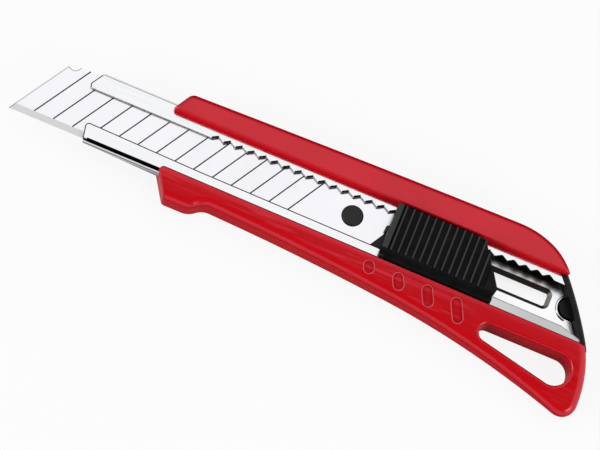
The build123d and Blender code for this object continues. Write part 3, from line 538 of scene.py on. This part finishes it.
# Painted shade: the burr's near-black colour stands in for the shadow line along the lip edges.
burr_shade_steel, tree, shader = new_material("sheared_steel_edge")
place = object_place(tree)
spot = parted(tree, place)
chatter = noise(tree, place, CHATTER_SCALE)
near_tail = product(tree, above(tree, spot["X"], TAIL_FROM_X), below(tree, spot["Y"], 0.0))
colour = mixed(tree, near_tail, mixed(tree, chatter, SHEARED_PAINTED_SHADE, SHEARED_PAINTED_SHADE_PALE), STEEL_TAIL_PAINTED_SHADE)
feed(tree, shader.inputs["Base Color"], colour)
feed(tree, shader.inputs["Roughness"], ramp(tree, chatter, *SHEARED_GLOSS, CHATTER_SPAN))
shader.inputs["Specular IOR Level"].default_value = SHEARED_SHEEN

tree, size = size_tree("lip_edge_burr", LIP_EDGE)
inputs = {"Geometry": size["Geometry"], "Distance": size["Weld"]}
sheet = add_node(tree, "GeometryNodeMergeByDistance", None, inputs).outputs[0]
ends = add_node(tree, "GeometryNodeInputMeshEdgeVertices").outputs
along = vector_reckon(tree, "SUBTRACT", ends["Position 2"], ends["Position 1"])["Vector"]
along = parted(tree, along)
first = parted(tree, ends["Position 1"])
second = parted(tree, ends["Position 2"])
angle = add_node(tree, "GeometryNodeInputMeshEdgeAngle").outputs["Unsigned Angle"]
floor = reckon(tree, "SUBTRACT", size["Lip Level"], size["Level Slack"])
rims = product(
    tree,
    above(tree, first["Z"], floor),
    above(tree, second["Z"], floor),
    above(tree, angle, size["Sharp Angle"]),
)
far = above(tree, first["Y"], 0.0)
notched = above(tree, first["X"], size["Notches From"])
ahead = below(tree, first["X"], size["Tail From"])
leaning = below(tree, product(tree, along["X"], along["Y"]), 0.0)
unlined_flank = product(tree, leaning, ahead, notched)
plain_run = below(tree, first["Y"], size["Plain Edge Y"])
plain_run = product(tree, plain_run, reckon(tree, "SUBTRACT", 1.0, notched))
unlined = product(tree, far, reckon(tree, "MAXIMUM", unlined_flank, plain_run))
rims = product(tree, rims, reckon(tree, "SUBTRACT", 1.0, unlined))
notch_rims = product(tree, rims, notched, far, ahead)
other_rims = reckon(tree, "SUBTRACT", rims, notch_rims)
lowered = product(tree, size["Notch Burr Sink"], -1.0)
drawn_back = vector(tree, 0.0, size["Notch Burr Back"], lowered)
inputs = {"Mesh": sheet, "Selection": notch_rims}
notch_path = add_node(tree, "GeometryNodeMeshToCurve", None, inputs).outputs["Curve"]
inputs = {"Geometry": notch_path, "Offset": drawn_back}
notch_path = add_node(tree, "GeometryNodeSetPosition", None, inputs).outputs[0]
inputs = {"Mesh": sheet, "Selection": other_rims}
other_path = add_node(tree, "GeometryNodeMeshToCurve", None, inputs).outputs["Curve"]
both = add_node(tree, "GeometryNodeJoinGeometry")
for path, radius in ((other_path, size["Burr"]), (notch_path, size["Notch Burr"])):
    burr = swept(tree, path, round_bar(tree, radius, BURR_SIDES))
    tree.links.new(burr, both.inputs["Geometry"])
end_tree(tree, both.outputs[0], burr_shade_steel)
lip_edges = grown("lip_edges", tree, LIP_EDGE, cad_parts["blade_channel"].data.copy())
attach(lip_edges, "body")


# Notch rim: the floor's tail notch takes the end cap's tongue, and its edge is rolled up into a
# low bright bead, in the channel's own sheet.
NOTCH_RIM = {
    "Centre X": 0.05390,
    "Centre Y": 0.0004,
    "Level": 0.0040,
    "Radius": 0.00352,
    "Start": math.radians(95.0),
    "Sweep": math.radians(170.0),
    "Wire": 0.00042,
}
NOTCH_RIM_POINTS = 40
NOTCH_RIM_SIDES = 10

tree, size = size_tree("notch_rim", NOTCH_RIM)
inputs = {
    "Resolution": NOTCH_RIM_POINTS,
    "Radius": size["Radius"],
    "Start Angle": size["Start"],
    "Sweep Angle": size["Sweep"],
}
arc = add_node(tree, "GeometryNodeCurveArc", None, inputs).outputs["Curve"]
centre = vector(tree, size["Centre X"], size["Centre Y"], size["Level"])
inputs = {"Geometry": arc, "Translation": centre}
arc = add_node(tree, "GeometryNodeTransform", None, inputs).outputs[0]
end_tree(tree, swept(tree, arc, round_bar(tree, size["Wire"], NOTCH_RIM_SIDES)), stainless)
notch_rim = grown("notch_rim", tree, NOTCH_RIM)
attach(notch_rim, "body")


# Carrier: black moulded plastic that slides in the channel, with the stud that holds the blade
# by its hole and the neck that comes up between the lips to the thumb slider.
BLACK = (0.009, 0.009, 0.010, 1.0)
BLACK_RUBBED = (0.016, 0.016, 0.017, 1.0)
BLACK_CLOUD_SCALE = 240.0
BLACK_CLOUD_SPAN = (0.4, 0.75)
BLACK_GLOSS = (0.34, 0.44)
BLACK_GLOSS_SPAN = (0.3, 0.7)
BLACK_GRAIN_SCALE = 3200.0
BLACK_GRAIN_DEPTH = 0.00003
BLACK_GRAIN_STRENGTH = 0.3
SIDE_SHINE_SHARE = 0.12
TOP_TILT = (0.2, 0.8)
CARRIER_SHINE = 0.30


def black_moulding(name):
    material, tree, shader = new_material(name)
    place = object_place(tree)
    clouds = noise(tree, place, BLACK_CLOUD_SCALE, MOTTLED)
    grain = noise(tree, place, BLACK_GRAIN_SCALE)
    rubbed = ramp(tree, clouds, 0.0, 1.0, BLACK_CLOUD_SPAN)
    grained = bumped(tree, grain, BLACK_GRAIN_DEPTH, BLACK_GRAIN_STRENGTH)
    feed(tree, shader.inputs["Base Color"], mixed(tree, rubbed, BLACK, BLACK_RUBBED))
    feed(tree, shader.inputs["Roughness"], ramp(tree, clouds, *BLACK_GLOSS, BLACK_GLOSS_SPAN))
    feed(tree, shader.inputs["Normal"], grained)
    return material, tree, shader


def shine_top(tree, shader, shine):
    top = ramp(tree, facing(tree)["Z"], SIDE_SHINE_SHARE, 1.0, TOP_TILT)
    feed(tree, shader.inputs["Specular IOR Level"], product(tree, top, shine))


black_plastic, tree, shader = black_moulding("black_moulded_plastic")
shine_top(tree, shader, CARRIER_SHINE)
dress("blade_carrier", black_plastic)


# Blade: a strip of polished carbon steel with a ground cutting edge, hung on the carrier's stud.
# Grinding lines cross the bevel, the flat faces are bright with a faint lavender cast, and a dull
# rim follows the slanted tip, where a segment was snapped off, and the nick in the spine.
BLADE_STEEL = (0.875, 0.862, 0.890, 1.0)
BLADE_STEEL_SHADE = (0.84, 0.828, 0.855, 1.0)
BLADE_FILM_SCALE = 70.0
BLADE_FILM_SPAN = (0.35, 0.7)
GROUND_STEEL = (0.92, 0.92, 0.91, 1.0)
BEVEL_TOP_Y = -0.0072
BEVEL_BLEND = 0.00006
SNAPPED_RIM = (0.42, 0.42, 0.43, 1.0)
SNAPPED_RIM_WIDTH = (0.00020, 0.00032)
SNAP_LEAN = math.radians(60.0)
NICK_CENTRE = (-0.09273, 0.00935, 0.0)
NICK_RADIUS = 0.00175
SEEN_FLAT = (1.0, 1.0, 0.0)
POLISHED_ROUGHNESS = 0.19
GROUND_ROUGHNESS = 0.48
GRINDING_SCALE = 90.0
GRINDING_STRETCH = (40.0, 1.0, 1.0)
GRINDING_ON_FLAT = 0.15
GRINDING_DEPTH = 0.00001
GRINDING_STRENGTH = 0.2

blade_low, blade_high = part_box("snap_blade")
blade_steel, tree, shader = new_material("polished_blade_steel")
place = object_place(tree)
spot = parted(tree, place)
patch = noise(tree, place, BLADE_FILM_SCALE, MOTTLED)
patch = ramp(tree, patch, 0.0, 1.0, BLADE_FILM_SPAN)
colour = mixed(tree, patch, BLADE_STEEL, BLADE_STEEL_SHADE)
bevel_y = (BEVEL_TOP_Y - BEVEL_BLEND, BEVEL_TOP_Y + BEVEL_BLEND)
ground = ramp(tree, spot["Y"], 1.0, 0.0, bevel_y)
colour = mixed(tree, ground, colour, GROUND_STEEL)
run = reckon(tree, "SUBTRACT", spot["X"], blade_low.x)
rise = reckon(tree, "SUBTRACT", spot["Y"], blade_low.y)
run = product(tree, run, math.sin(SNAP_LEAN))
from_tip = reckon(tree, "SUBTRACT", run, product(tree, rise, math.cos(SNAP_LEAN)))
flat_place = object_place(tree, SEEN_FLAT)
from_nick = vector_reckon(tree, "DISTANCE", flat_place, NICK_CENTRE)["Value"]
from_nick = reckon(tree, "SUBTRACT", from_nick, NICK_RADIUS)
from_rim = reckon(tree, "MINIMUM", from_tip, from_nick)
rim = ramp(tree, from_rim, 1.0, 0.0, SNAPPED_RIM_WIDTH)
feed(tree, shader.inputs["Base Color"], mixed(tree, rim, colour, SNAPPED_RIM))
roughness = ramp(tree, ground, POLISHED_ROUGHNESS, GROUND_ROUGHNESS)
feed(tree, shader.inputs["Roughness"], roughness)
grinding = noise(tree, object_place(tree, GRINDING_STRETCH), GRINDING_SCALE, MOTTLED)
lines = product(tree, grinding, ramp(tree, ground, GRINDING_ON_FLAT, 1.0))
feed(tree, shader.inputs["Normal"], bumped(tree, lines, GRINDING_DEPTH, GRINDING_STRENGTH))
shader.inputs["Metallic"].default_value = 1.0
dress("snap_blade", blade_steel)


# Score lines: the dark oxide left at the bottom of each pressed line where the blade snaps.
# The lines lean at the blade's own angle and stop at the ground edge.
SCORE = (0.020, 0.020, 0.021, 1.0)
SCORE_WORN = (0.045, 0.045, 0.047, 1.0)
SCORE_WEAR_SCALE = 900.0
SCORE_GLOSS = (0.55, 0.75)
SCORE_SHEEN = 0.2
SCORE_SIDES = 8
SCORES = {
    "Count": 14,
    "Pitch": 0.00545,
    "Lean": SNAP_LEAN,
    "Half Width": 0.00023,
    "Sink": 0.00011,
    "Tip X": blade_low.x,
    "Edge Y": blade_low.y,
    "Bevel Y": BEVEL_TOP_Y,
    "Spine Y": blade_high.y,
    "Top": blade_high.z,
}

score_oxide, tree, shader = new_material("score_oxide")
worn = noise(tree, object_place(tree), SCORE_WEAR_SCALE, MOTTLED)
feed(tree, shader.inputs["Base Color"], mixed(tree, worn, SCORE, SCORE_WORN))
feed(tree, shader.inputs["Roughness"], ramp(tree, worn, *SCORE_GLOSS))
shader.inputs["Specular IOR Level"].default_value = SCORE_SHEEN

tree, size = size_tree("score_lines", SCORES)
rise = reckon(tree, "SINE", size["Lean"])
run = reckon(tree, "DIVIDE", reckon(tree, "COSINE", size["Lean"]), rise)
foot = reckon(tree, "SUBTRACT", size["Bevel Y"], size["Edge Y"])
climb = reckon(tree, "SUBTRACT", size["Spine Y"], size["Bevel Y"])
foot_x = reckon(tree, "ADD", size["Tip X"], size["Pitch"])
foot_x = reckon(tree, "ADD", foot_x, product(tree, foot, run))
depth = reckon(tree, "SUBTRACT", size["Top"], size["Sink"])
inputs = {"End": vector(tree, product(tree, climb, run), climb, 0.0)}
line = add_node(tree, "GeometryNodeCurvePrimitiveLine", None, inputs).outputs[0]
first = vector(tree, foot_x, size["Bevel Y"], depth)
step = vector(tree, size["Pitch"], 0.0, 0.0)
lines = stood_in_row(tree, size["Count"], first, step, line)
thread = round_bar(tree, size["Half Width"], SCORE_SIDES)
end_tree(tree, swept(tree, lines, thread), score_oxide)
score_lines = grown("score_lines", tree, SCORES)
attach(score_lines, "carriage")


# Lock: a small steel tooth in the carrier's neck that drops into the lip's notches, pushed
# home by a bowed leaf spring. Both are hardened strip, dull grey with an oily film.
STRIP_STEEL = (0.34, 0.33, 0.32, 1.0)
STRIP_STEEL_BLUE = (0.20, 0.21, 0.24, 1.0)
STRIP_TINT_SCALE = 700.0
STRIP_GLOSS = (0.28, 0.45)

strip_steel, tree, shader = new_material("hardened_strip_steel")
tint = noise(tree, object_place(tree), STRIP_TINT_SCALE, MOTTLED)
feed(tree, shader.inputs["Base Color"], mixed(tree, tint, STRIP_STEEL, STRIP_STEEL_BLUE))
feed(tree, shader.inputs["Roughness"], ramp(tree, tint, *STRIP_GLOSS))
shader.inputs["Metallic"].default_value = 1.0
dress("lock_tooth", strip_steel)
dress("lock_spring", strip_steel)


# Thumb slider: a black moulded cap clipped over the carrier's neck, in the same plastic. Its
# ribs stand in wide dull valleys across the thumb's push, each top rounded and rubbed shiny.
RUBBED_SHINE = 0.5
DULL_SHINE = 0.05
LAND_END_X = (0.0024, 0.0026)
RUBBED_Z = (0.01285, 0.01300)
RIB_INSET = 0.00052
RIB_VALLEY_DEPTH = 0.0008
RIB_ROUNDING_POINTS = 3

slider_low, slider_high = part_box("thumb_slider")
RIBS = {
    "Count": 13,
    "Pitch": 0.00206,
    "First X": 0.0034,
    "Near Y": slider_low.y + RIB_INSET,
    "Far Y": slider_high.y - RIB_INSET,
    "Rear X": 0.0341,
    "Rear Slant": math.radians(32.0),
    "Floor": slider_high.z - RIB_VALLEY_DEPTH,
    "Height": 0.00083,
    "Foot": 0.00096,
    "Top": 0.00044,
    "Rounding": 0.00012,
}

ribbed_plastic, tree, shader = black_moulding("black_ribbed_plastic")
spot = parted(tree, object_place(tree))
shine_top(tree, shader, ramp(tree, spot["X"], RUBBED_SHINE, DULL_SHINE, LAND_END_X))
dress("thumb_slider", ribbed_plastic)

rubbed_plastic, tree, shader = black_moulding("black_rubbed_plastic")
spot = parted(tree, object_place(tree))
shine_top(tree, shader, ramp(tree, spot["Z"], DULL_SHINE, RUBBED_SHINE, RUBBED_Z))

tree, size = size_tree("thumb_ribs", RIBS)
inputs = {"End": (0.0, 1.0, 0.0)}
line = add_node(tree, "GeometryNodeCurvePrimitiveLine", None, inputs).outputs[0]
middle = reckon(tree, "ADD", size["Floor"], product(tree, size["Height"], 0.5))
spot = parted(tree, add_node(tree, "GeometryNodeInputPosition").outputs[0])
behind = reckon(tree, "SUBTRACT", size["Rear X"], spot["X"])
to_rear = reckon(tree, "DIVIDE", behind, reckon(tree, "TANGENT", size["Rear Slant"]))
to_far = reckon(tree, "SUBTRACT", size["Far Y"], size["Near Y"])
scale = vector(tree, 1.0, reckon(tree, "MINIMUM", to_rear, to_far), 1.0)
first = vector(tree, size["First X"], size["Near Y"], middle)
step = vector(tree, size["Pitch"], 0.0, 0.0)
ribs = stood_in_row(tree, size["Count"], first, step, line, scale)
settings = {"mode": "Z_UP"}
ribs = add_node(tree, "GeometryNodeSetCurveNormal", settings, {"Curve": ribs}).outputs[0]
# The sweep lays the section upside down, so its bottom makes the rib's top.
inputs = {
    "Bottom Width": size["Top"],
    "Top Width": size["Foot"],
    "Height": size["Height"],
    "Offset": 0.0,
}
settings = {"mode": "TRAPEZOID"}
section = add_node(tree, "GeometryNodeCurvePrimitiveQuadrilateral", settings, inputs)
inputs = {
    "Curve": section.outputs[0],
    "Count": RIB_ROUNDING_POINTS,
    "Radius": size["Rounding"],
    "Limit Radius": True,
}
section = add_node(tree, "GeometryNodeFilletCurve", {"mode": "POLY"}, inputs)
end_tree(tree, swept(tree, ribs, section.outputs[0]), rubbed_plastic)
thumb_ribs = grown("thumb_ribs", tree, RIBS)
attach(thumb_ribs, "thumb")


# Slider skirt: the foot of the slider's near wall steps out over the lip, almost to the red
# flange, and a little further at its rear. It is one with the slider's moulding, and its top
# edge is bevelled.
SKIRT_X = (0.0012, 0.0332)
SKIRT_REACH = (0.00098, 0.00120)
SKIRT_ROOT = 0.00030
SKIRT_HEIGHT = 0.00075
SKIRT_BEVEL = 0.00025

inner = slider_low.y + SKIRT_ROOT
bottom = slider_low.z
top = bottom + SKIRT_HEIGHT
corners = []
for x, reach in zip(SKIRT_X, SKIRT_REACH):
    outer = slider_low.y - reach
    corners.append((x, inner, bottom))
    corners.append((x, inner, top))
    corners.append((x, outer + SKIRT_BEVEL, top))
    corners.append((x, outer, top - SKIRT_BEVEL))
    corners.append((x, outer, bottom))
count = len(corners) // 2
faces = [tuple(range(count)), tuple(reversed(range(count, 2 * count)))]
for first in range(count):
    second = (first + 1) % count
    faces.append((first, first + count, second + count, second))
skirt_mesh = bpy.data.meshes.new("slider_skirt")
skirt_mesh.from_pydata(corners, [], faces)
skirt_mesh.materials.append(ribbed_plastic)
slider_skirt = bpy.data.objects.new("slider_skirt", skirt_mesh)
scene.collection.objects.link(slider_skirt)
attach(slider_skirt, "thumb")


# End cap: a plug moulded in a duller black plastic and pushed into the channel's tail. Its
# curved wall closes the tail, and its round tongue sits in the notch of the channel floor.
CAP_SHINE = 0.14

cap_plastic, tree, shader = black_moulding("black_cap_plastic")
shine_top(tree, shader, CAP_SHINE)
dress("end_cap", cap_plastic)


# Table and studio: a plain white table under a white room, with soft lamps left and right. Dark
# cards hang on the near and far sides, and the bends of the steel show them as black lines.
WHITE = (1.0, 1.0, 1.0, 1.0)
TABLE_SIZE = 3.0
TABLE_LEVEL = -0.0001
TABLE_WHITE = (0.90, 0.90, 0.90, 1.0)
TABLE_SHADE = (0.87, 0.87, 0.87, 1.0)
TABLE_SPECKLE_SCALE = 30.0
TABLE_ROUGHNESS = 0.9
TABLE_GLOW = 0.88
TABLE_GLOW_IN_METAL = 0.30
ROOM_LOW = (0.80, 0.80, 0.81, 1.0)
ROOM_HIGH = (1.10, 1.10, 1.11, 1.0)
CARD = (0.005, 0.005, 0.006, 1.0)
NEAR_CARD_TOP = (0.0, 0.05)
NEAR_CARD_FOOT = (-0.94, -0.89)
FAR_CARD_TOP = (0.78, 0.84)
FAR_CARD_FOOT = (0.92, 0.95)
CARD_SIDES = (0.42, 0.65)
KNIFE_MIDDLE = Vector((-0.02, 0.0, 0.0))
LAMP_PLACES = {"left_softbox": (-0.9, -0.6, 0.6), "right_softbox": (0.9, -0.6, 0.6)}
LAMP_SIDE = 0.6
LAMP_POWER = 4.0

white_table, tree, shader = new_material("white_table")
speckle = noise(tree, object_place(tree), TABLE_SPECKLE_SCALE)
feed(tree, shader.inputs["Base Color"], mixed(tree, speckle, TABLE_WHITE, TABLE_SHADE))
shader.inputs["Roughness"].default_value = TABLE_ROUGHNESS
shader.inputs["Specular IOR Level"].default_value = 0.0
glow = add_node(tree, "ShaderNodeEmission", None, {"Color": WHITE})
rays = add_node(tree, "ShaderNodeLightPath").outputs
mirrored = reckon(tree, "MAXIMUM", rays["Is Glossy Ray"], rays["Is Transmission Ray"])
mirrored = product(tree, mirrored, TABLE_GLOW_IN_METAL)
seen = product(tree, rays["Is Camera Ray"], TABLE_GLOW)
share = reckon(tree, "MAXIMUM", seen, mirrored)
blend = add_node(tree, "ShaderNodeMixShader", None, {"Fac": share})
tree.links.new(shader.outputs["BSDF"], blend.inputs[1])
tree.links.new(glow.outputs["Emission"], blend.inputs[2])
tree.links.new(blend.outputs["Shader"], tree.nodes["Material Output"].inputs["Surface"])

half = TABLE_SIZE / 2
corners = ((-half, -half), (half, -half), (half, half), (-half, half))
table_mesh = bpy.data.meshes.new("table_top")
table_mesh.from_pydata([(x, y, TABLE_LEVEL) for x, y in corners], [], [(0, 1, 2, 3)])
table_mesh.materials.append(white_table)
table_top = bpy.data.objects.new("table_top", table_mesh)
scene.collection.objects.link(table_top)

world = bpy.data.worlds.new("studio")
scene.world = world
world.use_nodes = True
tree = world.node_tree
direction = parted(tree, add_node(tree, "ShaderNodeTexCoord").outputs["Generated"])
room = mixed(tree, ramp(tree, direction["Z"], 0.0, 1.0), ROOM_LOW, ROOM_HIGH)
near_card = ramp(tree, direction["Y"], 1.0, 0.0, NEAR_CARD_TOP)
near_card = product(tree, near_card, ramp(tree, direction["Y"], 0.0, 1.0, NEAR_CARD_FOOT))
far_card = ramp(tree, direction["Y"], 0.0, 1.0, FAR_CARD_TOP)
far_card = product(tree, far_card, ramp(tree, direction["Y"], 1.0, 0.0, FAR_CARD_FOOT))
sides = ramp(tree, reckon(tree, "ABSOLUTE", direction["X"]), 1.0, 0.0, CARD_SIDES)
cards = product(tree, reckon(tree, "MAXIMUM", near_card, far_card), sides)
room = mixed(tree, cards, room, CARD)
rays = add_node(tree, "ShaderNodeLightPath").outputs
seen = mixed(tree, rays["Is Camera Ray"], room, WHITE)
tree.links.new(seen, tree.nodes["Background"].inputs["Color"])

for name, lamp_place in LAMP_PLACES.items():
    light = bpy.data.lights.new(name, "AREA")
    light.shape = "RECTANGLE"
    light.size = LAMP_SIDE
    light.size_y = LAMP_SIDE
    light.energy = LAMP_POWER
    lamp = bpy.data.objects.new(name, light)
    lamp.location = lamp_place
    lamp.rotation_mode = "QUATERNION"
    lamp.rotation_quaternion = (KNIFE_MIDDLE - Vector(lamp_place)).to_track_quat("-Z", "Y")
    scene.collection.objects.link(lamp)


# Camera: a long lens high above the near side, rolled so that the knife runs down to the right
# and fills the frame.
CAMERA_TARGET = Vector((-0.021, -0.008, 0.007))
CAMERA_ELEVATION = math.radians(72.0)
CAMERA_ROLL = math.radians(22.7)
CAMERA_DISTANCE = 0.661
CAMERA_LENS = 150.0
CAMERA_SENSOR = 36.0
CAMERA_NEAREST = 0.01
CAMERA_FARTHEST = 10.0

back = Vector((0.0, -math.cos(CAMERA_ELEVATION), math.sin(CAMERA_ELEVATION)))
level_right = Vector((1.0, 0.0, 0.0))
level_up = back.cross(level_right)
right = level_right * math.cos(CAMERA_ROLL) + level_up * math.sin(CAMERA_ROLL)
up = back.cross(right)
lens = bpy.data.cameras.new("camera")
lens.lens = CAMERA_LENS
lens.sensor_width = CAMERA_SENSOR
lens.clip_start = CAMERA_NEAREST
lens.clip_end = CAMERA_FARTHEST
camera = bpy.data.objects.new("camera", lens)
turned = Matrix((right, up, back)).transposed().to_4x4()
camera.matrix_world = Matrix.Translation(CAMERA_TARGET + back * CAMERA_DISTANCE) @ turned
scene.collection.objects.link(camera)
scene.camera = camera
